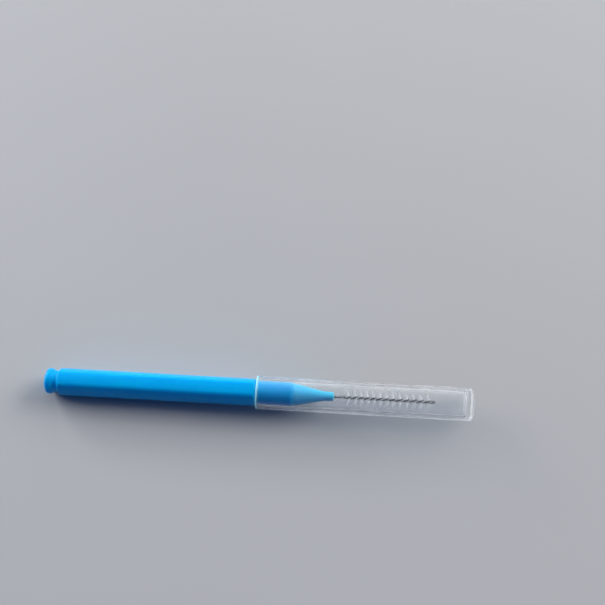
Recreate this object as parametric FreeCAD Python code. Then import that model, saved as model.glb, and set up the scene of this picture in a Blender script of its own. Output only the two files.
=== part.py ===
import FreeCAD, Part
import math
import os

V = FreeCAD.Vector

# ---------------------------------------------------------------------------
# Capped interdental brush, lying along X. Millimetres.
# Lengths along the brush are counted from the cap's open rim, which stands at
# X_RIM; the common axis of handle, wire and cap runs at height Z_AXIS.
# ---------------------------------------------------------------------------
X_RIM = -0.3            # puts the middle of the 80 mm overall length at X = 0
CAP_R = 3.10            # outside radius of the cap
Z_AXIS = CAP_R          # the cap's lowest line is at Z = 0

# handle: button, groove, hexagonal grip
REAR = -39.70           # rear face of the button
BUTTON_R = 2.40
BUTTON_EDGE = 0.70      # rounding of the button's rim
BUTTON_DOME = 0.12      # how far its rear face bulges
NECK_R = 2.03
NECK_X = -37.60         # where the button has run down into the groove
HEX_REAR = -37.30       # where the hexagon rises out of the groove
HEX_RISE = 0.65         # length of that rise
HEX_FLATS = 4.84        # across flats
HEX_EDGE = 1.10         # rounding of the six long edges
HEX_NOSE = -0.90        # where the long edges start to taper to the plug
# plug, cone and nose, under the cap
PLUG_START = -0.10
PLUG_R = 2.25
PLUG_END = 6.88         # foot of the step between plug and cone
PLUG_BEVEL = 0.13       # how far the plug's end is bevelled
PLUG_BEVEL_LEN = 0.52
CONE_R = 2.04           # the cone starts a small step below the plug
CONE_START = 7.50       # and falls away straight from here
CONE_START_R = 1.98
CONE_END = 12.55
NOSE_R0 = 0.90
NOSE_R1 = 0.82
NOSE_END = 14.50
NOSE_EDGE = 0.34

# wire: one strand folded at the tip and twisted on itself, left-handed
STRAND_R = 0.14
WIRE_ROOT = 8.50        # buried end, inside the cone
WIRE_TIP = 33.50        # outside of the fold
STEM_RC = 0.146         # strand centres from the axis, bare stem
TUFT_RC = 0.190         # the same where filaments lie between the strands
STEM_HALF = 0.50        # length of half a turn on the bare stem
TUFT_HALF_0 = 1.08      # at the first filaments
TUFT_HALF_1 = 1.38      # at the last ones
SOCKET_R = 0.26         # moulded hole that grips the buried end

# filaments
TUFT_START = 16.80
TUFT_END = 32.65
TUFT_R0 = 1.72          # half length of a filament, first row
TUFT_R1 = 1.32          # last row
FILAMENT_R = 0.045
FILAMENT_STEP = 0.10

# cap
CAP_LEN = 40.30
CAP_BORE_R = 2.28
CAP_END_WALL = 1.15
CAP_END_EDGE = 0.40     # outer rounding of the closed end
CAP_IN_EDGE = 0.35      # inner rounding of the closed end
CAP_RIM_EDGE = 0.14
CAP_LEAD = 0.12         # lead-in at the mouth
CAP_LEAD_LEN = 0.45

AXIS = V(1, 0, 0)


def at(x, r=0.0):
    """Point of a half profile: x from the rim, r from the axis."""
    return V(X_RIM + x, 0, Z_AXIS + r)


def line(a, b):
    return Part.LineSegment(at(*a), at(*b)).toShape()


def arc(a, m, b):
    return Part.Arc(at(*a), at(*m), at(*b)).toShape()


def turned(edges):
    """Solid of revolution about the brush's axis from a closed half profile."""
    face = Part.Face(Part.Wire(edges))
    solid = face.revolve(at(0), AXIS, 360)
    if solid.Volume < 0:
        solid.reverse()
    return solid


def corner(cx, cr, rad, deg):
    """Point on a rounding, centre (cx, cr)."""
    return (cx + rad * math.cos(math.radians(deg)), cr + rad * math.sin(math.radians(deg)))


def step01(t):
    t = max(0.0, min(1.0, t))
    return t * t * (3 - 2 * t)


# ------------------------------------------------------------------ handle --
apothem = HEX_FLATS / 2
corner_r = apothem / math.cos(math.radians(30))
ring = []
for k in range(7):
    a = math.radians(60 * k)
    ring.append(V(X_RIM + HEX_REAR - 0.1, corner_r * math.cos(a), Z_AXIS + corner_r * math.sin(a)))
grip_len = PLUG_START - HEX_REAR + 0.1
grip = Part.Face(Part.makePolygon(ring)).extrude(AXIS * grip_len)
long_edges = [e for e in grip.Edges if abs(e.Length - grip_len) < 1e-6]
grip = grip.makeFillet(HEX_EDGE, long_edges)

# the ends of the hexagon are cut to cones, like a sharpened pencil
full_r = corner_r + 0.05
ends = [
    (HEX_REAR - 0.04, 0.0),
    (HEX_REAR - 0.04, NECK_R - 0.05),
    (HEX_REAR + HEX_RISE, full_r),
    (HEX_NOSE, full_r),
    (PLUG_START, PLUG_R),
    (PLUG_START, 0.0),
]
grip = grip.common(turned([line(ends[i], ends[(i + 1) % len(ends)]) for i in range(len(ends))]))

b0 = REAR + BUTTON_DOME
e = BUTTON_EDGE
crest = b0 + e
half_x, half_r = (NECK_X - crest) / 2, (BUTTON_R - NECK_R) / 2
sway = (half_x ** 2 + half_r ** 2) / (2 * half_r)        # radius of both halves of the S from crest to groove
tip = math.degrees(math.asin(half_x / sway)) / 2
core = []
core.append(arc((REAR, 0.0), (REAR + 0.30 * BUTTON_DOME, 0.55 * (BUTTON_R - e)), (b0, BUTTON_R - e)))
core.append(arc((b0, BUTTON_R - e), corner(b0 + e, BUTTON_R - e, e, 135), (crest, BUTTON_R)))
middle = (crest + half_x, BUTTON_R - half_r)
core.append(arc((crest, BUTTON_R), corner(crest, BUTTON_R - sway, sway, 90 - tip), middle))
core.append(arc(middle, corner(NECK_X, NECK_R + sway, sway, 270 - tip), (NECK_X, NECK_R)))
core.append(line((NECK_X, NECK_R), (PLUG_START - 1.0, NECK_R)))
core.append(line((PLUG_START - 1.0, NECK_R), (PLUG_START - 1.0, PLUG_R)))
core.append(line((PLUG_START - 1.0, PLUG_R), (PLUG_END - PLUG_BEVEL_LEN, PLUG_R)))
core.append(line((PLUG_END - PLUG_BEVEL_LEN, PLUG_R), (PLUG_END, PLUG_R - PLUG_BEVEL)))
core.append(line((PLUG_END, PLUG_R - PLUG_BEVEL), (PLUG_END, CONE_R)))
core.append(line((PLUG_END, CONE_R), (CONE_START, CONE_START_R)))
core.append(line((CONE_START, CONE_START_R), (CONE_END, NOSE_R0)))
n = NOSE_EDGE
core.append(line((CONE_END, NOSE_R0), (NOSE_END - n, NOSE_R1)))
core.append(arc((NOSE_END - n, NOSE_R1), corner(NOSE_END - n, NOSE_R1 - n, n, 45), (NOSE_END, NOSE_R1 - n)))
core.append(line((NOSE_END, NOSE_R1 - n), (NOSE_END, 0.0)))
core.append(line((NOSE_END, 0.0), (REAR, 0.0)))
core = turned(core)

socket = Part.makeCylinder(SOCKET_R, NOSE_END - WIRE_ROOT + 1.0, at(WIRE_ROOT), AXIS)
handle = grip.fuse(core).removeSplitter().cut(socket)
handle = handle.Solids[0]

# -------------------------------------------------------------------- wire --
BEND = TUFT_RC                                   # radius of the fold's centre line
FOLD_X = WIRE_TIP - STRAND_R - BEND              # where the legs run into the fold
STRAIGHT = 0.55                                  # the twist dies out over this length


def half_turn(x):
    h = STEM_HALF + (TUFT_HALF_0 - STEM_HALF) * step01((x - TUFT_START + 1.1) / 1.3)
    return h + (TUFT_HALF_1 - TUFT_HALF_0) * max(0.0, min(1.0, (x - TUFT_START) / (TUFT_END - TUFT_START)))


def strand_rc(x):
    return STEM_RC + (TUFT_RC - STEM_RC) * step01((x - TUFT_START + 0.9) / 0.9)


SAMPLES = 5000
DX = (FOLD_X - WIRE_ROOT) / SAMPLES
turn = [0.0]
for i in range(SAMPLES):
    xm = WIRE_ROOT + (i + 0.5) * DX
    fade = 1.0 - step01((xm - (FOLD_X - STRAIGHT)) / STRAIGHT)
    turn.append(turn[-1] + fade * math.pi / half_turn(xm) * DX)


def twist(x):
    """Angle of the first strand about the axis; the second is half a turn on."""
    f = min(max((x - WIRE_ROOT) / DX, 0.0), SAMPLES - 1e-9)
    i = int(f)
    return -(turn[i] + (turn[i + 1] - turn[i]) * (f - i))


def leg(x, k):
    a = twist(x) + k * math.pi
    r = strand_rc(x)
    return V(X_RIM + x, r * math.cos(a), Z_AXIS + r * math.sin(a))


# stations at even steps of twist, closer where the twist dies out
stations = [WIRE_ROOT]
x = WIRE_ROOT
while True:
    x += min(half_turn(x) / 6.0, 0.16)
    if x > FOLD_X - STRAIGHT:
        break
    stations.append(x)
for k in range(1, 6):
    stations.append(FOLD_X - STRAIGHT + STRAIGHT * k / 5.0)

path = [leg(x, 0) for x in stations]
a_end = twist(FOLD_X)
for k in range(1, 8):
    a = math.pi * k / 8.0
    path.append(V(X_RIM + FOLD_X + BEND * math.sin(a),
                  BEND * math.cos(a) * math.cos(a_end),
                  Z_AXIS + BEND * math.cos(a) * math.sin(a_end)))
path += [leg(x, 1) for x in reversed(stations)]

params = [0.0]
for i in range(1, len(path)):
    params.append(params[-1] + (path[i] - path[i - 1]).Length)
spine = Part.BSplineCurve()
spine.interpolate(Points=path, Parameters=params)

# a frame carried along the path without spin
tangents = [spine.tangent(p)[0].normalize() for p in params]
side = V(0, 0, 1).cross(tangents[0]).normalize()
sides = [side]
for i in range(1, len(path)):
    d = path[i] - path[i - 1]
    c = d.dot(d)
    s = sides[-1] - d * (2 * d.dot(sides[-1]) / c)
    t = tangents[i - 1] - d * (2 * d.dot(tangents[i - 1]) / c)
    d = tangents[i] - t
    c = d.dot(d)
    s = s - d * (2 * d.dot(s) / c) if c > 1e-18 else s
    s = s - tangents[i] * s.dot(tangents[i])
    sides.append(s.normalize())

# the strand's skin in two halves, each an exact half circle at every station
ARCS = 10                                        # arcs in each half
half_arc = math.pi / ARCS / 2
tracks = []
for j in range(4 * ARCS + 1):
    reach = STRAND_R if j % 2 == 0 else STRAND_R / math.cos(half_arc)
    a = half_arc * j
    pts = []
    for i in range(len(path)):
        other = tangents[i].cross(sides[i])
        pts.append(path[i] + sides[i] * (reach * math.cos(a)) + other * (reach * math.sin(a)))
    c = Part.BSplineCurve()
    c.interpolate(Points=pts, Parameters=params)
    tracks.append(c)
u_knots, u_mults = tracks[0].getKnots(), tracks[0].getMultiplicities()
v_knots = [k / ARCS for k in range(ARCS + 1)]
v_mults = [3] + [2] * (ARCS - 1) + [3]
v_weights = [1.0 if j % 2 == 0 else math.cos(half_arc) for j in range(2 * ARCS + 1)]


def half_skin(first):
    poles = [[tracks[first + j].getPole(i + 1) for j in range(2 * ARCS + 1)] for i in range(tracks[0].NbPoles)]
    s = Part.BSplineSurface()
    s.buildFromPolesMultsKnots(poles, u_mults, v_mults, u_knots, v_knots, False, False, 3, 2, [v_weights for _ in poles])
    return s


BLOCK = 12
cuts = list(range(0, len(params) - BLOCK // 2, BLOCK)) + [len(params) - 1]
faces = []
for first in (0, 2 * ARCS):
    skin = half_skin(first)
    for a, b in zip(cuts[:-1], cuts[1:]):
        piece = skin.copy()
        piece.segment(params[a], params[b], 0.0, 1.0)
        faces.append(piece.toShape())
for i in (0, len(path) - 1):
    faces.append(Part.Face(Part.Wire([Part.makeCircle(STRAND_R, path[i], tangents[i])])))
shell = Part.makeCompound(faces)
shell.sewShape()
stem_wire = Part.Solid(shell.Shells[0] if shell.ShapeType != "Shell" else shell)
if stem_wire.Volume < 0:
    stem_wire.reverse()

# --------------------------------------------------------------- filaments --
filaments = []
count = int(round((TUFT_END - TUFT_START) / FILAMENT_STEP))
for i in range(count + 1):
    x = TUFT_START + (TUFT_END - TUFT_START) * i / count
    f = i / count
    reach = TUFT_R0 + (TUFT_R1 - TUFT_R0) * f
    a = twist(x) + math.pi / 2
    d = V(0, math.cos(a), math.sin(a))
    filaments.append(Part.makeCylinder(FILAMENT_R, 2 * reach, at(x) - d * reach, d))
bristles = Part.makeCompound(filaments)

# --------------------------------------------------------------------- cap --
c0, c1 = CAP_RIM_EDGE, CAP_END_EDGE
inner_end = CAP_LEN - CAP_END_WALL
ci = CAP_IN_EDGE
mouth_r = CAP_BORE_R + CAP_LEAD
cap = []
cap.append(line((CAP_LEAD_LEN, CAP_BORE_R), (inner_end - ci, CAP_BORE_R)))
cap.append(arc((inner_end - ci, CAP_BORE_R), corner(inner_end - ci, CAP_BORE_R - ci, ci, 45), (inner_end, CAP_BORE_R - ci)))
cap.append(line((inner_end, CAP_BORE_R - ci), (inner_end, 0.0)))
cap.append(line((inner_end, 0.0), (CAP_LEN, 0.0)))
cap.append(line((CAP_LEN, 0.0), (CAP_LEN, CAP_R - c1)))
cap.append(arc((CAP_LEN, CAP_R - c1), corner(CAP_LEN - c1, CAP_R - c1, c1, 45), (CAP_LEN - c1, CAP_R)))
cap.append(line((CAP_LEN - c1, CAP_R), (c0, CAP_R)))
cap.append(arc((c0, CAP_R), corner(c0, CAP_R - c0, c0, 135), (0.0, CAP_R - c0)))
cap.append(line((0.0, CAP_R - c0), (0.0, mouth_r)))
cap.append(line((0.0, mouth_r), (CAP_LEAD_LEN, CAP_BORE_R)))
cap = turned(cap)

# ------------------------------------------------------------------ output --
os.makedirs("parts", exist_ok=True)
for name, shape in (("handle", handle), ("stem_wire", stem_wire), ("bristles", bristles), ("cap", cap)):
    shape.exportStep("parts/%s.step" % name)
    box = shape.BoundBox
    print("%-10s valid %s solids %d faces %d volume %.3f  X %.2f..%.2f  Y %.2f..%.2f  Z %.2f..%.2f" % (
        name, shape.isValid(), len(shape.Solids), len(shape.Faces), shape.Volume,
        box.XMin, box.XMax, box.YMin, box.YMax, box.ZMin, box.ZMax))
print("wire length %.2f, section times length %.3f" % (spine.length(), math.pi * STRAND_R ** 2 * spine.length()))
print("half turns along the filaments %.2f" % (-(twist(TUFT_END) - twist(TUFT_START)) / math.pi))
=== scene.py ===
import math
import random

import bpy
from mathutils import Matrix, Quaternion, Vector


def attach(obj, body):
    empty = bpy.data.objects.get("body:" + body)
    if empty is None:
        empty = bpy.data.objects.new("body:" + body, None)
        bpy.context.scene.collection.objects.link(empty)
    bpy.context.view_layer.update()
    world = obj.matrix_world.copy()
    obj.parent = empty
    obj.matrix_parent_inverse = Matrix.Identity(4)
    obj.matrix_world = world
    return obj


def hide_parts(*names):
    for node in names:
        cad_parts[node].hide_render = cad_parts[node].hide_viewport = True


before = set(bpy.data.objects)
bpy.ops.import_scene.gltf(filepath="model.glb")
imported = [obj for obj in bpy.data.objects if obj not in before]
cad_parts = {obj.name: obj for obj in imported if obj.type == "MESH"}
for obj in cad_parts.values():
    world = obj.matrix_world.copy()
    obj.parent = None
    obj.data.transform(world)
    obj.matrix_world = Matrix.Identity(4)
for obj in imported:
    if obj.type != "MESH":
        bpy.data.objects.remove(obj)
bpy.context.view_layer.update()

# ---------------------------------------------------------------------------
# Capped interdental brush. The numbers below are millimetres, counted along
# the brush from the cap's open rim; MM turns them into metres in the row frame.
# ---------------------------------------------------------------------------
MM = 0.001
X_RIM, Z_AXIS = -0.3, 3.1

REAR, BUTTON_R, BUTTON_EDGE, BUTTON_DOME = -39.70, 2.40, 0.70, 0.12
NECK_R, NECK_X, HEX_REAR, HEX_RISE = 2.03, -37.60, -37.30, 0.65
HEX_FLATS, HEX_EDGE, HEX_NOSE = 4.84, 1.10, -0.90
PLUG_START, PLUG_R, PLUG_END, PLUG_BEVEL, PLUG_BEVEL_LEN = -0.10, 2.25, 6.88, 0.13, 0.52
CONE_R, CONE_START, CONE_START_R, CONE_END = 2.04, 7.50, 1.98, 12.55
NOSE_R0, NOSE_R1, NOSE_END, NOSE_EDGE = 0.90, 0.82, 14.50, 0.34

STRAND_R, WIRE_ROOT, WIRE_TIP = 0.14, 8.50, 33.50
STEM_RC, TUFT_RC, STEM_HALF, TUFT_HALF_0, TUFT_HALF_1 = 0.146, 0.190, 0.50, 1.08, 1.38
TUFT_START, TUFT_END, TUFT_R0, TUFT_R1 = 16.80, 32.65, 1.72, 1.32

CAP_R, CAP_BORE_R, CAP_LEN, CAP_END_WALL = 3.10, 2.28, 40.30, 1.15
CAP_END_EDGE, CAP_IN_EDGE, CAP_RIM_EDGE, CAP_LEAD, CAP_LEAD_LEN = 0.40, 0.35, 0.14, 0.12, 0.45

rnd = random.Random(4127)


def step01(t):
    t = max(0.0, min(1.0, t))
    return t * t * (3 - 2 * t)


def place(x, y, z):
    """Brush coordinates (mm from rim, offsets from the axis) to the row frame."""
    return ((X_RIM + x) * MM, y * MM, (Z_AXIS + z) * MM)


def add_mesh(name, verts, faces, material):
    mesh = bpy.data.meshes.new(name)
    mesh.from_pydata(verts, [], faces)
    mesh.validate()
    mesh.polygons.foreach_set("use_smooth", [True] * len(mesh.polygons))
    mesh.materials.append(material)
    mesh.update()
    ob = bpy.data.objects.new(name, mesh)
    bpy.context.scene.collection.objects.link(ob)
    return ob


def rounded(points, turn_step=12.0):
    """Profile with its corners rounded. points: (x, r, rounding)."""
    out = []
    n = len(points)
    for i, (x, r, rad) in enumerate(points):
        p = Vector((x, r))
        if rad <= 0 or i in (0, n - 1):
            out.append((x, r))
            continue
        a = (Vector(points[i - 1][:2]) - p)
        b = (Vector(points[i + 1][:2]) - p)
        la, lb = a.length, b.length
        a.normalize()
        b.normalize()
        half = math.acos(max(-1.0, min(1.0, a.dot(b)))) / 2
        cut = min(rad / math.tan(half), 0.49 * la, 0.49 * lb)
        rr = cut * math.tan(half)
        centre = p + (a + b).normalized() * (rr / math.sin(half))
        s, e = p + a * cut - centre, p + b * cut - centre
        sweep = math.pi - 2 * half
        k = max(2, int(math.degrees(sweep) / turn_step) + 1)
        sgn = 1.0 if s.x * e.y - s.y * e.x > 0 else -1.0
        for j in range(k + 1):
            t = sgn * sweep * j / k
            c, q = math.cos(t), math.sin(t)
            out.append((centre.x + s.x * c - s.y * q, centre.y + s.x * q + s.y * c))
    return out


def finer(path, lo, hi, gap):
    """Adds points so that steps between x = lo and x = hi are at most gap long."""
    out = [path[0]]
    for a, b in zip(path[:-1], path[1:]):
        length = math.hypot(b[0] - a[0], b[1] - a[1])
        k = 1
        if min(a[0], b[0]) < hi and max(a[0], b[0]) > lo:
            k = max(1, int(math.ceil(length / gap)))
        for j in range(1, k + 1):
            out.append((a[0] + (b[0] - a[0]) * j / k, a[1] + (b[1] - a[1]) * j / k))
    return out


def skin(name, path, angles, radius_at, material):
    """Closed body round the brush's axis: a ring per profile point, a pole at each end."""
    m = len(angles)
    cs = [(math.cos(a), math.sin(a)) for a in angles]
    verts = [place(path[0][0], 0, 0)]
    for x, r in path[1:-1]:
        for (c, s), a in zip(cs, angles):
            q = radius_at(x, r, a)
            verts.append(place(x, q * c, q * s))
    verts.append(place(path[-1][0], 0, 0))
    last = len(verts) - 1
    rings = len(path) - 2
    faces = []
    for j in range(m):
        faces.append((0, 1 + j, 1 + (j + 1) % m))
    for i in range(rings - 1):
        a, b = 1 + i * m, 1 + (i + 1) * m
        for j in range(m):
            k = (j + 1) % m
            faces.append((a + j, b + j, b + k, a + k))
    a = 1 + (rings - 1) * m
    for j in range(m):
        faces.append((a + j, last, a + (j + 1) % m))
    # the rings run towards +X with angles from +Y to +Z, so faces are turned outwards here
    faces = [tuple(reversed(f)) for f in faces]
    return add_mesh(name, verts, faces, material)


# ------------------------------------------------------------- materials --
def new_material(name):
    mat = bpy.data.materials.new(name)
    mat.use_nodes = True
    nt = mat.node_tree
    for n in list(nt.nodes):
        nt.nodes.remove(n)
    out = nt.nodes.new("ShaderNodeOutputMaterial")
    bsdf = nt.nodes.new("ShaderNodeBsdfPrincipled")
    nt.links.new(bsdf.outputs["BSDF"], out.inputs["Surface"])
    return mat, nt, bsdf, out


def coords(nt, scale):
    tc = nt.nodes.new("ShaderNodeTexCoord")
    mp = nt.nodes.new("ShaderNodeMapping")
    mp.inputs["Scale"].default_value = scale
    nt.links.new(tc.outputs["Object"], mp.inputs["Vector"])
    return mp.outputs["Vector"]


def noise_tex(nt, vector, scale, detail=3.0, rough=0.5):
    n = nt.nodes.new("ShaderNodeTexNoise")
    n.inputs["Scale"].default_value = scale
    n.inputs["Detail"].default_value = detail
    n.inputs["Roughness"].default_value = rough
    nt.links.new(vector, n.inputs["Vector"])
    return n.outputs["Fac"]


def ramp(nt, fac, stops):
    r = nt.nodes.new("ShaderNodeValToRGB")
    el = r.color_ramp.elements
    el[0].position, el[0].color = stops[0]
    el[1].position, el[1].color = stops[-1]
    for pos, col in stops[1:-1]:
        e = el.new(pos)
        e.color = col
    nt.links.new(fac, r.inputs["Fac"])
    return r.outputs["Color"]


def to_range(nt, fac, lo, hi):
    m = nt.nodes.new("ShaderNodeMapRange")
    m.inputs["To Min"].default_value = lo
    m.inputs["To Max"].default_value = hi
    nt.links.new(fac, m.inputs["Value"])
    return m.outputs["Result"]


def bump(nt, height, strength, distance, normal=None):
    b = nt.nodes.new("ShaderNodeBump")
    b.inputs["Strength"].default_value = strength
    b.inputs["Distance"].default_value = distance
    nt.links.new(height, b.inputs["Height"])
    if normal is not None:
        nt.links.new(normal, b.inputs["Normal"])
    return b.outputs["Normal"]


def handle_material():
    """Sky-blue moulded polypropylene: satin skin, fine spark-erosion grain, faint flow streaks along the grip, and
    painted light that makes the plug, cone and nose paler.
    """
    mat, nt, p, _ = new_material("blue_moulded_plastic")
    flow = noise_tex(nt, coords(nt, (90, 900, 900)), 1.0, 4.0, 0.55)
    colour = ramp(nt, flow, [
        (0.25, (0.0, 0.370, 0.780, 1)),
        (0.55, (0.0, 0.400, 0.810, 1)),
        (0.85, (0.0, 0.430, 0.840, 1)),
    ])
    # the plug, cone and nose are thinner than the grip; their paler blue is painted light for the extra light they get
    # inside the cap, on the same plastic
    pale = ramp(nt, flow, [
        (0.25, (0.02, 0.570, 0.900, 1)),
        (0.85, (0.035, 0.630, 0.940, 1)),
    ])
    tc = nt.nodes.new("ShaderNodeTexCoord")
    sep = nt.nodes.new("ShaderNodeSeparateXYZ")
    nt.links.new(tc.outputs["Object"], sep.inputs["Vector"])
    # mask of the painted light: none on the grip, a tenth on the plug, rising to full over the cone and the nose
    painted_light_ramp = nt.nodes.new("ShaderNodeMapRange")
    painted_light_ramp.inputs["From Min"].default_value = (X_RIM + PLUG_END - PLUG_BEVEL_LEN - 0.1) * MM
    painted_light_ramp.inputs["From Max"].default_value = (X_RIM + CONE_START) * MM
    painted_light_ramp.inputs["To Min"].default_value = 0.10
    nt.links.new(sep.outputs["X"], painted_light_ramp.inputs["Value"])
    painted_light_zone = nt.nodes.new("ShaderNodeMapRange")
    painted_light_zone.inputs["From Min"].default_value = (X_RIM + HEX_NOSE) * MM
    painted_light_zone.inputs["From Max"].default_value = (X_RIM + PLUG_START) * MM
    nt.links.new(sep.outputs["X"], painted_light_zone.inputs["Value"])
    painted_light_share = nt.nodes.new("ShaderNodeMath")
    painted_light_share.operation = "MULTIPLY"
    nt.links.new(painted_light_ramp.outputs["Result"], painted_light_share.inputs[0])
    nt.links.new(painted_light_zone.outputs["Result"], painted_light_share.inputs[1])
    grip_with_painted_light = nt.nodes.new("ShaderNodeMix")
    grip_with_painted_light.data_type = "RGBA"
    nt.links.new(painted_light_share.outputs["Value"], grip_with_painted_light.inputs[0])
    nt.links.new(colour, grip_with_painted_light.inputs[6])
    nt.links.new(pale, grip_with_painted_light.inputs[7])
    nt.links.new(grip_with_painted_light.outputs[2], p.inputs["Base Color"])
    grain = noise_tex(nt, coords(nt, (9000, 9000, 9000)), 1.0, 2.0, 0.6)
    patch = noise_tex(nt, coords(nt, (260, 420, 420)), 1.0, 3.0, 0.5)
    nt.links.new(to_range(nt, patch, 0.30, 0.46), p.inputs["Roughness"])
    n1 = bump(nt, grain, 0.10, 0.00002)
    n2 = bump(nt, flow, 0.12, 0.00008, n1)
    nt.links.new(n2, p.inputs["Normal"])
    p.inputs["IOR"].default_value = 1.49
    p.inputs["Specular IOR Level"].default_value = 0.35
    p.inputs["Specular Tint"].default_value = (0.10, 0.75, 1.0, 1)
    p.inputs["Subsurface Weight"].default_value = 0.55
    p.inputs["Subsurface Radius"].default_value = (0.05, 0.40, 1.0)
    p.inputs["Subsurface Scale"].default_value = 0.0018
    return mat


def cap_material():
    """Translucent polypropylene: see-through, faintly milky, with soft draw lines along the tube and frosted moulded edges."""
    mat, nt, p, out = new_material("milky_translucent_plastic")
    streak = noise_tex(nt, coords(nt, (0, 1500, 1500)), 1.0, 3.0, 0.55)
    cloud = noise_tex(nt, coords(nt, (150, 300, 300)), 1.0, 3.0, 0.5)
    milk = ramp(nt, cloud, [
        (0.30, (0.945, 0.965, 0.985, 1)),
        (0.70, (0.98, 0.99, 1.0, 1)),
    ])
    # distance along the tube: frosted over the rim and over the closed end's edge
    tc = nt.nodes.new("ShaderNodeTexCoord")
    sep = nt.nodes.new("ShaderNodeSeparateXYZ")
    nt.links.new(tc.outputs["Object"], sep.inputs["Vector"])
    along = nt.nodes.new("ShaderNodeMapRange")
    along.inputs["From Min"].default_value = X_RIM * MM
    along.inputs["From Max"].default_value = (X_RIM + CAP_LEN) * MM
    nt.links.new(sep.outputs["X"], along.inputs["Value"])
    k = 1.0 / CAP_LEN
    # painted light: the rim sits round the blue plug, and the plug's blue light that shows in it is painted into the
    # rim's base colour; the plastic itself is milky white
    painted_rim_blue = ramp(nt, along.outputs["Result"], [
        (0.0, (0.52, 0.93, 1.0, 1)),
        (0.32 * k, (0.52, 0.93, 1.0, 1)),
        (0.50 * k, (1.0, 1.0, 1.0, 1)),
        (1.0, (1.0, 1.0, 1.0, 1)),
    ])
    # the painted blue is multiplied into the milky colour, which also colours the edge glow
    both = nt.nodes.new("ShaderNodeMix")
    both.data_type = "RGBA"
    both.blend_type = "MULTIPLY"
    both.inputs[0].default_value = 1.0
    nt.links.new(milk, both.inputs[6])
    nt.links.new(painted_rim_blue, both.inputs[7])
    colour = both.outputs[2]
    nt.links.new(colour, p.inputs["Base Color"])
    # clearest where the bore lies on the plug, milkier over the air beyond it
    clearness = ramp(nt, along.outputs["Result"], [
        (0.0, (0.06, 0.06, 0.06, 1)),
        (0.22 * k, (0.10, 0.10, 0.10, 1)),
        (0.36 * k, (0.998, 0.998, 0.998, 1)),
        (6.75 * k, (0.998, 0.998, 0.998, 1)),
        (7.20 * k, (0.965, 0.965, 0.965, 1)),
        (1 - 0.55 * k, (0.965, 0.965, 0.965, 1)),
        (1 - 0.10 * k, (0.86, 0.86, 0.86, 1)),
        (1.0, (0.88, 0.88, 0.88, 1)),
    ])
    # seen along the wall, more of the milky plastic lies in the way
    lw = nt.nodes.new("ShaderNodeLayerWeight")
    lw.inputs["Blend"].default_value = 0.5
    graze = nt.nodes.new("ShaderNodeMapRange")
    graze.inputs["From Min"].default_value = 0.35
    graze.inputs["From Max"].default_value = 1.0
    graze.inputs["To Max"].default_value = 0.25
    nt.links.new(lw.outputs["Facing"], graze.inputs["Value"])
    lines = nt.nodes.new("ShaderNodeMapRange")
    lines.inputs["From Min"].default_value = 0.48
    lines.inputs["From Max"].default_value = 0.78
    lines.inputs["To Max"].default_value = 0.02
    nt.links.new(streak, lines.inputs["Value"])
    veil = nt.nodes.new("ShaderNodeMath")
    veil.operation = "ADD"
    nt.links.new(graze.outputs["Result"], veil.inputs[0])
    nt.links.new(lines.outputs["Result"], veil.inputs[1])
    see = nt.nodes.new("ShaderNodeMath")
    see.operation = "SUBTRACT"
    see.use_clamp = True
    nt.links.new(clearness, see.inputs[0])
    nt.links.new(veil.outputs["Value"], see.inputs[1])
    nt.links.new(see.outputs["Value"], p.inputs["Transmission Weight"])
    blur = nt.nodes.new("ShaderNodeMath")
    blur.operation = "ADD"
    nt.links.new(to_range(nt, streak, 0.05, 0.12), blur.inputs[0])
    nt.links.new(graze.outputs["Result"], blur.inputs[1])
    nt.links.new(blur.outputs["Value"], p.inputs["Roughness"])
    nt.links.new(bump(nt, streak, 0.02, 0.00004), p.inputs["Normal"])
    p.inputs["IOR"].default_value = 1.47
    p.inputs["Specular Tint"].default_value = (0.4, 0.4, 0.4, 1)
    p.inputs["Coat Weight"].default_value = 0.25
    p.inputs["Coat Roughness"].default_value = 0.35
    p.inputs["Subsurface Weight"].default_value = 1.0
    p.inputs["Subsurface Radius"].default_value = (1.0, 1.0, 1.0)
    p.inputs["Subsurface Scale"].default_value = 0.0005
    # light that runs along inside the wall comes out of its cut edges
    edges = ramp(nt, along.outputs["Result"], [
        (0.0, (0.30, 0.30, 0.30, 1)),
        (0.22 * k, (0.25, 0.25, 0.25, 1)),
        (0.36 * k, (0.0, 0.0, 0.0, 1)),
        (1 - 0.45 * k, (0.0, 0.0, 0.0, 1)),
        (1 - 0.10 * k, (0.13, 0.13, 0.13, 1)),
        (1.0, (0.20, 0.20, 0.20, 1)),
    ])
    glow = nt.nodes.new("ShaderNodeBsdfTranslucent")
    nt.links.new(colour, glow.inputs["Color"])
    through = nt.nodes.new("ShaderNodeMath")
    through.operation = "ADD"
    through.use_clamp = True
    nt.links.new(edges, through.inputs[0])
    nt.links.new(graze.outputs["Result"], through.inputs[1])
    body = nt.nodes.new("ShaderNodeMixShader")
    nt.links.new(through.outputs["Value"], body.inputs[0])
    nt.links.new(p.outputs["BSDF"], body.inputs[1])
    nt.links.new(glow.outputs["BSDF"], body.inputs[2])
    lp = nt.nodes.new("ShaderNodeLightPath")
    clear = nt.nodes.new("ShaderNodeBsdfTransparent")
    clear.inputs["Color"].default_value = (0.885, 0.90, 0.915, 1)
    soft = nt.nodes.new("ShaderNodeMixShader")
    nt.links.new(lp.outputs["Is Diffuse Ray"], soft.inputs[0])
    nt.links.new(body.outputs["Shader"], soft.inputs[1])
    nt.links.new(clear.outputs["BSDF"], soft.inputs[2])
    mix = nt.nodes.new("ShaderNodeMixShader")
    nt.links.new(lp.outputs["Is Shadow Ray"], mix.inputs[0])
    nt.links.new(soft.outputs["Shader"], mix.inputs[1])
    nt.links.new(clear.outputs["BSDF"], mix.inputs[2])
    nt.links.new(mix.outputs["Shader"], out.inputs["Surface"])
    return mat


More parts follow.
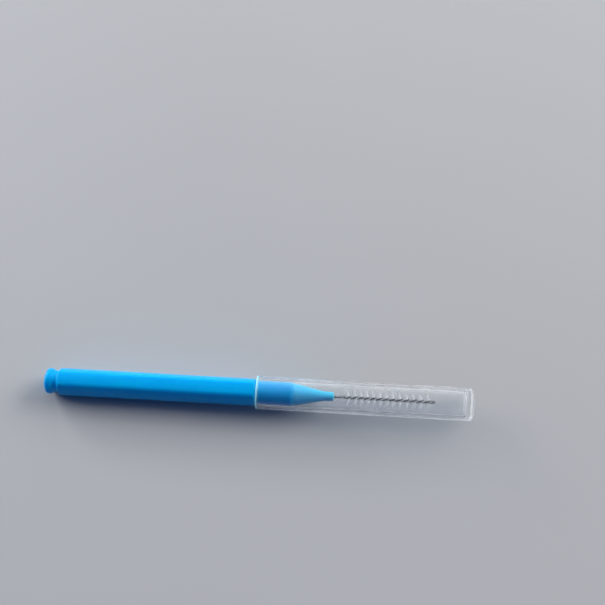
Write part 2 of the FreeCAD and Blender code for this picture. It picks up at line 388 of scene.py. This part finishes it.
def wire_material():
    """Drawn stainless wire: bright, with fine drawing lines and slightly duller patches, and painted shade that darkens
    it among the filaments.
    """
    mat, nt, p, _ = new_material("drawn_stainless_wire")
    patch = noise_tex(nt, coords(nt, (1500, 1500, 1500)), 1.0, 3.0, 0.6)
    bright = ramp(nt, patch, [
        (0.30, (0.24, 0.24, 0.245, 1)),
        (0.70, (0.40, 0.395, 0.385, 1)),
    ])
    painted_shade_steel = ramp(nt, patch, [
        (0.30, (0.12, 0.12, 0.125, 1)),
        (0.70, (0.21, 0.207, 0.20, 1)),
    ])
    # bare stem lighter; darker among the filaments, which is painted shade where the bristles shade the wire
    tc = nt.nodes.new("ShaderNodeTexCoord")
    sep = nt.nodes.new("ShaderNodeSeparateXYZ")
    nt.links.new(tc.outputs["Object"], sep.inputs["Vector"])
    among = nt.nodes.new("ShaderNodeMapRange")
    among.inputs["From Min"].default_value = (X_RIM + TUFT_START - 1.4) * MM
    among.inputs["From Max"].default_value = (X_RIM + TUFT_START + 0.2) * MM
    nt.links.new(sep.outputs["X"], among.inputs["Value"])
    colour = nt.nodes.new("ShaderNodeMix")
    colour.data_type = "RGBA"
    nt.links.new(among.outputs["Result"], colour.inputs[0])
    nt.links.new(bright, colour.inputs[6])
    nt.links.new(painted_shade_steel, colour.inputs[7])
    nt.links.new(colour.outputs[2], p.inputs["Base Color"])
    fine = noise_tex(nt, coords(nt, (4000, 26000, 26000)), 1.0, 2.0, 0.6)
    nt.links.new(to_range(nt, fine, 0.10, 0.20), p.inputs["Roughness"])
    nt.links.new(bump(nt, fine, 0.12, 0.000006), p.inputs["Normal"])
    p.inputs["Metallic"].default_value = 1.0
    return mat


def nylon_material():
    """White nylon monofilament: pale, slightly see-through, glossy."""
    mat, nt, p, out = new_material("white_nylon_filament")
    patch = noise_tex(nt, coords(nt, (2200, 2200, 2200)), 1.0, 2.0, 0.5)
    colour = ramp(nt, patch, [
        (0.25, (0.90, 0.91, 0.92, 1)),
        (0.75, (0.97, 0.975, 0.98, 1)),
    ])
    nt.links.new(colour, p.inputs["Base Color"])
    nt.links.new(to_range(nt, patch, 0.24, 0.38), p.inputs["Roughness"])
    p.inputs["IOR"].default_value = 1.53
    thin = nt.nodes.new("ShaderNodeBsdfTranslucent")
    nt.links.new(colour, thin.inputs["Color"])
    mix = nt.nodes.new("ShaderNodeMixShader")
    mix.inputs[0].default_value = 0.22
    nt.links.new(p.outputs["BSDF"], mix.inputs[1])
    nt.links.new(thin.outputs["BSDF"], mix.inputs[2])
    lp = nt.nodes.new("ShaderNodeLightPath")
    clear = nt.nodes.new("ShaderNodeBsdfTransparent")
    clear.inputs["Color"].default_value = (0.95, 0.955, 0.96, 1)
    soft = nt.nodes.new("ShaderNodeMixShader")
    nt.links.new(lp.outputs["Is Diffuse Ray"], soft.inputs[0])
    nt.links.new(mix.outputs["Shader"], soft.inputs[1])
    nt.links.new(clear.outputs["BSDF"], soft.inputs[2])
    lit = nt.nodes.new("ShaderNodeMixShader")
    nt.links.new(lp.outputs["Is Shadow Ray"], lit.inputs[0])
    nt.links.new(soft.outputs["Shader"], lit.inputs[1])
    nt.links.new(clear.outputs["BSDF"], lit.inputs[2])
    nt.links.new(lit.outputs["Shader"], out.inputs["Surface"])
    return mat


# ----------------------------------------------------------------- handle --
APO = HEX_FLATS / 2
# the flats are a touch crowned: the skin's normal turns this far from the middle of a flat to where its corners begin
CROWN, CROWN_R = math.radians(8.0), 6.5
c30, s30, cc, sc = math.cos(math.radians(30)), math.sin(math.radians(30)), math.cos(CROWN), math.sin(CROWN)
t30 = s30 / c30
CORNER_R = (APO * t30 - CROWN_R * (sc + t30 * (1 - cc))) / ((s30 - sc) + t30 * (cc - c30))
FLAT_END = math.atan2(CROWN_R * sc, APO - CROWN_R * (1 - cc))
section = []                                    # (angle from the middle of a flat, radius)
for i in range(241):
    n = math.radians(30) * i / 240
    if n <= CROWN:
        sx, sy = CROWN_R * math.sin(n), APO - CROWN_R * (1 - math.cos(n))
    else:
        sx = CROWN_R * sc + CORNER_R * (math.sin(n) - sc)
        sy = APO - CROWN_R * (1 - cc) - CORNER_R * (cc - math.cos(n))
    section.append((math.atan2(sx, sy), math.hypot(sx, sy)))


def hexagon(a):
    """Radius of the rounded hexagon, corners at 0, 60, 120 ... degrees, flats half way between."""
    f = min(abs(a % math.radians(60) - math.radians(30)), section[-1][0])
    for (a0, r0), (a1, r1) in zip(section[:-1], section[1:]):
        if f <= a1:
            return r0 + (r1 - r0) * (f - a0) / (a1 - a0)
    return section[-1][1]


def soft_min(a, b, k):
    h = max(0.0, min(1.0, 0.5 + 0.5 * (b - a) / k))
    return b + (a - b) * h - k * h * (1 - h)


def handle_radius(x, r, a):
    if HEX_REAR - 0.02 < x < PLUG_START + 0.25:
        q = soft_min(hexagon(a), r, 0.07)
        q = max(q, min(r, NECK_R))
    else:
        q = r
    # hairline where the two halves of the mould met
    d = abs((a + math.pi / 2) % math.pi - math.pi / 2)
    if x < PLUG_START and d < math.radians(0.9):
        q += 0.016 * (1 - d / math.radians(0.9))
    return q


angles = []
flat_deg = math.degrees(FLAT_END)
for k in range(6):
    base = 60 * k
    arc_half = 30 - flat_deg
    for j in range(10):
        angles.append(base - arc_half + 2 * arc_half * j / 10)
    for j in range(8):
        angles.append(base + arc_half + 2 * flat_deg * j / 8)
angles += [-0.9, -0.45, 0.45, 0.9, 180 - 0.9, 180 - 0.45, 180 + 0.45, 180 + 0.9]
angles = sorted({round(a % 360, 4) for a in angles})
angles = [math.radians(a) for a in angles]


def dome(r):
    return REAR + BUTTON_DOME * (r / (BUTTON_R - BUTTON_EDGE)) ** 2


def arc_points(cx, cr, rad, first, last, n):
    """Profile points on a circle's arc, both ends among them; angles in degrees."""
    out = []
    for i in range(n + 1):
        t = math.radians(first + (last - first) * i / n)
        out.append((cx + rad * math.cos(t), cr + rad * math.sin(t), 0))
    return out


b0 = REAR + BUTTON_DOME
crest = b0 + BUTTON_EDGE
half_x, half_r = (NECK_X - crest) / 2, (BUTTON_R - NECK_R) / 2
sway = (half_x ** 2 + half_r ** 2) / (2 * half_r)
tip = math.degrees(math.asin(half_x / sway))
profile = [(REAR + 0.075, 0.0, 0), (REAR + 0.075, 0.16, 0.03), (REAR + 0.045, 0.20, 0.02), (REAR + 0.045, 0.26, 0.02),
           (REAR + 0.095, 0.33, 0.04), (REAR + 0.095, 0.52, 0.05), (dome(0.64), 0.64, 0.05)]
profile += [(dome(r), r, 0) for r in (0.8, 1.0, 1.2, 1.4, 1.55)]
profile += arc_points(crest, BUTTON_R - BUTTON_EDGE, BUTTON_EDGE, 172, 90, 9)
profile += arc_points(crest, BUTTON_R - sway, sway, 90, 90 - tip, 7)[1:]
profile += arc_points(NECK_X, NECK_R + sway, sway, 270 - tip, 270, 7)[1:]
profile += [(HEX_REAR, NECK_R, 0.22), (HEX_REAR + HEX_RISE, APO + 0.425, 0), (HEX_REAR + 1.3, APO + 0.70, 0),
            (HEX_NOSE - 0.8, APO + 0.70, 0), (HEX_NOSE, APO + 0.42, 0.08), (PLUG_START, PLUG_R, 0.10),
            (PLUG_END - PLUG_BEVEL_LEN, PLUG_R, 0.15), (PLUG_END, PLUG_R - PLUG_BEVEL, 0.05), (PLUG_END + 0.01, CONE_R, 0.04),
            (CONE_START, CONE_START_R, 2.0), (CONE_END, NOSE_R0, 0.35),
            (NOSE_END, NOSE_R1, NOSE_EDGE), (NOSE_END, 0.37, 0.03), (NOSE_END + 0.10, 0.30, 0.03),
            (NOSE_END + 0.10, 0.24, 0.02), (NOSE_END - 1.0, 0.24, 0), (NOSE_END - 1.0, 0.0, 0)]
path = rounded(profile)
path = finer(path, HEX_REAR - 0.05, HEX_REAR + HEX_RISE + 0.05, 0.025)
path = finer(path, HEX_NOSE - 0.1, PLUG_START + 0.2, 0.03)
path = finer(path, HEX_REAR + HEX_RISE, HEX_NOSE - 0.2, 1.2)
path = finer(path, PLUG_START, CONE_END, 0.5)
handle = skin("handle_moulding", path, angles, handle_radius, handle_material())
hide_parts("handle")
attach(handle, "brush")

# ------------------------------------------------------------------- wire --
BEND = 0.150
FOLD_X = WIRE_TIP - STRAND_R - BEND
STRAIGHT = 0.55


def half_turn(x):
    h = STEM_HALF + (TUFT_HALF_0 - STEM_HALF) * step01((x - TUFT_START + 1.1) / 1.3)
    return h + (TUFT_HALF_1 - TUFT_HALF_0) * max(0.0, min(1.0, (x - TUFT_START) / (TUFT_END - TUFT_START)))


def strand_rc(x):
    # the legs close up again after the last filament
    return (STEM_RC + (TUFT_RC - STEM_RC) * step01((x - TUFT_START + 0.9) / 0.9)
            - (TUFT_RC - BEND) * step01((x - TUFT_END - 0.03) / (FOLD_X - TUFT_END - 0.03)))


SAMPLES = 5000
DX = (FOLD_X - WIRE_ROOT) / SAMPLES
turned = [0.0]
for i in range(SAMPLES):
    xm = WIRE_ROOT + (i + 0.5) * DX
    fade = 1.0 - step01((xm - (FOLD_X - STRAIGHT)) / STRAIGHT)
    turned.append(turned[-1] + fade * math.pi / half_turn(xm) * DX)


def twist(x):
    f = min(max((x - WIRE_ROOT) / DX, 0.0), SAMPLES - 1e-9)
    i = int(f)
    return -(turned[i] + (turned[i + 1] - turned[i]) * (f - i))


def leg(x, k):
    a = twist(x) + k * math.pi
    r = strand_rc(x)
    return Vector((x, r * math.cos(a), r * math.sin(a)))


stations = []
x = NOSE_END - 0.6
while x < FOLD_X - STRAIGHT:
    stations.append(x)
    x += half_turn(x) / 11.0
stations += [FOLD_X - STRAIGHT + STRAIGHT * k / 9.0 for k in range(10)]
line = [leg(x, 0) for x in stations]
a_end = twist(FOLD_X)
for k in range(1, 14):
    a = math.pi * k / 14.0
    line.append(Vector((FOLD_X + BEND * math.sin(a), BEND * math.cos(a) * math.cos(a_end), BEND * math.cos(a) * math.sin(a_end))))
line += [leg(x, 1) for x in reversed(stations)]


def tube(points, radius_of, sides, verts, faces, side=None):
    """Adds a round tube along points, with a frame carried along without spin and closed ends."""
    n = len(points)
    tang = []
    for i in range(n):
        a, b = points[max(0, i - 1)], points[min(n - 1, i + 1)]
        tang.append((b - a).normalized())
    if side is None:
        side = tang[0].orthogonal().normalized()
    first = len(verts)
    for i in range(n):
        if i:
            d = points[i] - points[i - 1]
            c = d.dot(d)
            s = side - d * (2 * d.dot(side) / c)
            t = tang[i - 1] - d * (2 * d.dot(tang[i - 1]) / c)
            d2 = tang[i] - t
            c2 = d2.dot(d2)
            side = s - d2 * (2 * d2.dot(s) / c2) if c2 > 1e-14 else s
            side = (side - tang[i] * side.dot(tang[i])).normalized()
        other = tang[i].cross(side)
        r = radius_of(i, n)
        for j in range(sides):
            a = 2 * math.pi * j / sides
            p = points[i] + side * (r * math.cos(a)) + other * (r * math.sin(a))
            verts.append(place(p.x, p.y, p.z))
    for i in range(n - 1):
        a, b = first + i * sides, first + (i + 1) * sides
        for j in range(sides):
            k = (j + 1) % sides
            faces.append((a + j, a + k, b + k, b + j))
    for i, rev in ((0, True), (n - 1, False)):
        a = first + i * sides
        verts.append(place(*(points[i] + tang[i] * (0.0 if n > 60 else (0.35 * radius_of(i, n)) * (-1 if rev else 1)))))
        c = len(verts) - 1
        for j in range(sides):
            k = (j + 1) % sides
            faces.append((c, a + k, a + j) if rev else (c, a + j, a + k))


verts, faces = [], []
tube(line, lambda i, n: STRAND_R, 14, verts, faces)
wire = add_mesh("twisted_stem_wire", verts, faces, wire_material())
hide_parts("stem_wire")
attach(wire, "brush")

# ---------------------------------------------------------------- bristles --
FIL_R = 0.030
verts, faces = [], []
count = 112
for i in range(count):
    f = (i + 0.5) / count
    x = TUFT_START + (TUFT_END - TUFT_START) * f + rnd.uniform(-0.03, 0.03)
    a = twist(x) + math.pi / 2 + rnd.gauss(0, math.radians(3.0))
    reach = TUFT_R0 + (TUFT_R1 - TUFT_R0) * f
    d = Vector((0, math.cos(a), math.sin(a)))
    q = Vector((0, -math.sin(a), math.cos(a)))
    # the first rows lean back towards the handle, the last ones a little forwards
    lean0 = -0.36 * math.exp(-((x - TUFT_START) / 1.1) ** 2) + 0.16 * math.exp(-((TUFT_END - x) / 0.9) ** 2)
    for sgn in (1, -1):
        lean = lean0 + rnd.gauss(0, 0.045)
        sway = rnd.gauss(0, 0.05)
        length = reach * (1 + rnd.uniform(-0.05, 0.015))
        pts = []
        for k in range(7):
            t = k / 6.0
            s = t * length
            pts.append(Vector((x + lean * s * (0.55 + 0.45 * t), 0, 0)) + d * (sgn * s) + q * (sway * s * t))
        tube(pts, lambda k, n: FIL_R * (1.0 if k < n - 1 else 0.72), 6, verts, faces)
bristles = add_mesh("nylon_bristles", verts, faces, nylon_material())
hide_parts("bristles")
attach(bristles, "brush")

# --------------------------------------------------------------------- cap --
inner_end = CAP_LEN - CAP_END_WALL
cap_profile = [(inner_end, 0.0, 0), (inner_end, CAP_BORE_R, CAP_IN_EDGE), (CAP_LEAD_LEN, CAP_BORE_R, 0.25),
               (0.0, CAP_BORE_R + CAP_LEAD, 0.05), (0.0, CAP_R, CAP_RIM_EDGE), (CAP_LEN, CAP_R, CAP_END_EDGE),
               (CAP_LEN, 0.66, 0.05), (CAP_LEN - 0.07, 0.58, 0.04), (CAP_LEN - 0.07, 0.22, 0.03),
               (CAP_LEN - 0.02, 0.17, 0.02), (CAP_LEN - 0.02, 0.0, 0)]
cap_path = finer(rounded(cap_profile, 9.0), 0.5, CAP_LEN - 1.2, 1.0)
cap_angles = [2 * math.pi * j / 144 for j in range(144)]
cap = skin("translucent_cap", cap_path, cap_angles, lambda x, r, a: r, cap_material())
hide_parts("cap")
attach(cap, "cap")

# ------------------------------------------------------------------- stage --
# The brush rests on the cap's rim and on the rear of the grip's lower flat, so the floor leans by that much.
touch_rear = Vector(((X_RIM + HEX_REAR + 0.1) * MM, 0, (Z_AXIS - APO) * MM))
touch_rim = Vector(((X_RIM + 0.1) * MM, 0, 0))
slope = math.atan2(touch_rear.z - touch_rim.z, touch_rim.x - touch_rear.x)
fm, fn, fp, _ = new_material("pale_floor")
soft = noise_tex(fn, coords(fn, (9, 9, 9)), 1.0, 4.0, 0.5)
fn.links.new(ramp(fn, soft, [(0.2, (0.455, 0.46, 0.465, 1)), (0.8, (0.485, 0.49, 0.495, 1))]), fp.inputs["Base Color"])
fp.inputs["Roughness"].default_value = 0.75
fp.inputs["Specular IOR Level"].default_value = 0.2
S, C = 5.0, 40
fv, ff = [], []
for i in range(C + 1):
    for j in range(C + 1):
        fx, fy = -S + 2 * S * i / C, -S + 2 * S * j / C
        fv.append((fx, fy, touch_rim.z - math.tan(slope) * (fx - touch_rim.x)))
for i in range(C):
    for j in range(C):
        k = i * (C + 1) + j
        ff.append((k, k + C + 1, k + C + 2, k + 1))
floor = add_mesh("floor", fv, ff, fm)


def area_light(name, loc, target, size, size_y, power, colour):
    ld = bpy.data.lights.new(name, "AREA")
    ld.shape = "RECTANGLE"
    ld.size, ld.size_y = size, size_y
    ld.energy = power
    ld.color = colour
    ob = bpy.data.objects.new(name, ld)
    ob.location = loc
    ob.rotation_mode = "QUATERNION"
    ob.rotation_quaternion = (Vector(target) - Vector(loc)).to_track_quat("-Z", "Y")
    bpy.context.scene.collection.objects.link(ob)
    return ob


area_light("key", (0.52, 0.34, 0.32), (0, 0, 0), 0.50, 0.34, 4.1, (1.0, 0.985, 0.955))
area_light("left", (-0.56, 0.24, 0.24), (0, 0, 0), 0.36, 0.30, 3.0, (0.98, 0.99, 1.0))
area_light("corner", (-0.46, 0.46, 0.20), (0, 0, 0), 0.16, 0.12, 1.5, (0.98, 0.99, 1.0))
area_light("strip", (0.03, 0.60, 0.17), (0, 0, 0), 0.42, 0.22, 0.45, (0.97, 0.99, 1.0))

# broad window-like sky behind and above the brush, dim and cool on the viewer's side
world = bpy.data.worlds.new("studio")
bpy.context.scene.world = world
world.use_nodes = True
wt = world.node_tree
bg = wt.nodes["Background"]
tc = wt.nodes.new("ShaderNodeTexCoord")
facing = wt.nodes.new("ShaderNodeVectorMath")
facing.operation = "DOT_PRODUCT"
facing.inputs[1].default_value = Vector((0.30, 0.66, 0.69)).normalized()
wt.links.new(tc.outputs["Generated"], facing.inputs[0])
span = wt.nodes.new("ShaderNodeMapRange")
span.inputs["From Min"].default_value = -1.0
span.inputs["From Max"].default_value = 1.0
wt.links.new(facing.outputs["Value"], span.inputs["Value"])
wt.links.new(ramp(wt, span.outputs["Result"], [
    (0.0, (0.015, 0.030, 0.11, 1)),
    (0.76, (0.02, 0.045, 0.14, 1)),
    (0.90, (0.36, 0.39, 0.44, 1)),
    (1.0, (0.75, 0.75, 0.75, 1)),
]), bg.inputs["Color"])
bg.inputs["Strength"].default_value = 1.0

# ------------------------------------------------------------------ camera --
FOCAL_PX, FRAME_PX = 872.0, 605.0
AIM = Vector((7.167, 21.651, 3.1)) * MM
DIST, AZ, EL, TILT = 176.429 * MM, math.radians(1.94), math.radians(53.0), math.radians(1.546)
ROLLED = math.radians(-15.0)            # the brush is seen this much further from above than the surface it lies on
back = Vector((math.sin(AZ) * math.cos(EL), -math.cos(AZ) * math.cos(EL), math.sin(EL)))
cd = bpy.data.cameras.new("camera")
cd.sensor_width = 36.0
cd.lens = 36.0 * FOCAL_PX / FRAME_PX
cd.clip_start, cd.clip_end = 0.005, 20.0
cam = bpy.data.objects.new("camera", cd)
pivot = Vector((0, 0, Z_AXIS * MM))
swing = Matrix.Rotation(ROLLED, 4, "X")
cam.location = pivot + swing @ (AIM + back * DIST - pivot)
cam.rotation_mode = "QUATERNION"
cam.rotation_quaternion = swing.to_quaternion() @ (-back).to_track_quat("-Z", "Y") @ Quaternion((0, 0, 1), TILT)
bpy.context.scene.collection.objects.link(cam)
bpy.context.scene.camera = cam

bpy.context.scene.view_settings.view_transform = "Standard"
bpy.context.scene.view_settings.look = "None"
